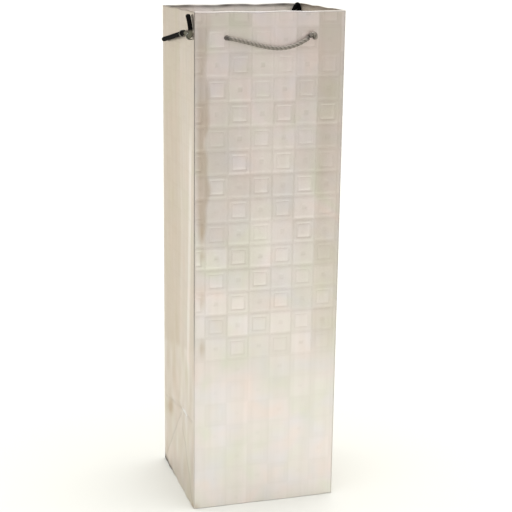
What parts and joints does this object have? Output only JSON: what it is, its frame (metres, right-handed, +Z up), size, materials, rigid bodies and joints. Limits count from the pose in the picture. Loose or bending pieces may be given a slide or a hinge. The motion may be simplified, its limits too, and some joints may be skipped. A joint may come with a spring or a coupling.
{
  "type": "wine gift bag",
  "caption": "Tall square block-bottom gift bag for one bottle, in embossed metallic paper, with swinging cord handles and a loose bottom board.",
  "frame": {"origin": "middle of the base, on the surface that the bag stands on", "axes": "+Z up to the mouth, front panel faces -Y, +X to the right seen from the front"},
  "size_m": [0.1122, 0.1052, 0.3627],
  "materials": {
    "foil_paper": "gloss",
    "white_paper": "matte",
    "grey_board": "matte",
    "silver_cord": "satin",
    "black_cord": "matte",
    "staple_wire": "satin"
  },
  "bodies": {
    "bag": {"front_panel": "foil_paper", "back_panel": "foil_paper", "left_gusset": "foil_paper", "right_gusset": "foil_paper", "side_seam_flap": "white_paper", "front_top_hem": "foil_paper", "back_top_hem": "foil_paper", "left_top_hem": "foil_paper", "right_top_hem": "foil_paper", "front_reinforcement_card": "grey_board", "back_reinforcement_card": "grey_board", "bottom_front_flap": "foil_paper", "bottom_back_flap": "foil_paper", "bottom_left_flap": "white_paper", "bottom_right_flap": "white_paper", "front_handle_knots": "silver_cord", "back_handle_knots": "silver_cord", "left_tie_cord": "black_cord", "right_tie_cord": "black_cord", "left_tie_staples": "staple_wire", "right_tie_staple": "staple_wire"},
    "front_handle": {"front_handle_cord": "silver_cord"},
    "back_handle": {"back_handle_cord": "silver_cord"},
    "loose_board": {"bottom_board": "grey_board"}
  },
  "joints": [
    {"name": "front_handle_swing", "type": "hinge", "parent": "bag", "child": "front_handle", "pos_m": [0, -0.0512, 0.3435], "axis": [-1, 0, 0], "range_deg": [0, 180]},
    {"name": "back_handle_swing", "type": "hinge", "parent": "bag", "child": "back_handle", "pos_m": [0, 0.0512, 0.3435], "axis": [1, 0, 0], "range_deg": [0, 180]},
    {"name": "bottom_board_lift", "type": "slide", "parent": "bag", "child": "loose_board", "axis": [0, 0, 1], "range_m": [0, 0.325]}
  ]
}
